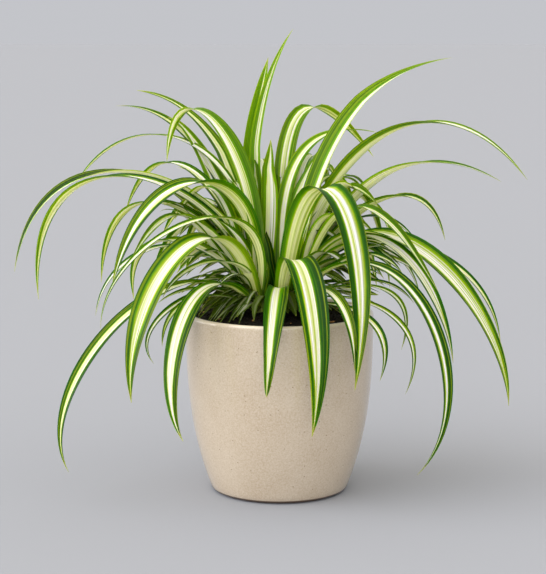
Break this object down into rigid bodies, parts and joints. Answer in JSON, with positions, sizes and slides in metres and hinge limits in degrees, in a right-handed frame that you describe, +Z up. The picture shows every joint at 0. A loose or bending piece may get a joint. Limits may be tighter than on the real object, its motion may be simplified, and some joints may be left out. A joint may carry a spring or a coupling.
{
  "type": "potted spider plant",
  "caption": "Variegated spider plant: long, arching, white-striped leaves in leafy tufts that grow from the soil of a rounded, glazed stoneware pot.",
  "frame": {"origin": "centre of the pot's underside, on the surface that the pot stands on", "axes": "+Z up along the pot's axis, -Y towards the front, +X to the right as seen from the front"},
  "size_m": [0.416, 0.2695, 0.367],
  "materials": {
    "glazed_stoneware": "semi-gloss warm beige glaze with fine mottling and sparse brown specks",
    "potting_soil": "dull, crumbly dark potting soil with a few bits of bark",
    "striped_leaf": "satin green blade with a cream stripe along its middle and yellow-green lines beside it"
  },
  "bodies": {
    "root": {"pot": "glazed_stoneware", "soil": "potting_soil", "tuft_right": "striped_leaf", "tuft_back": "striped_leaf", "tuft_left": "striped_leaf", "tuft_front_left": "striped_leaf", "tuft_front_right": "striped_leaf"}
  },
  "joints": []
}
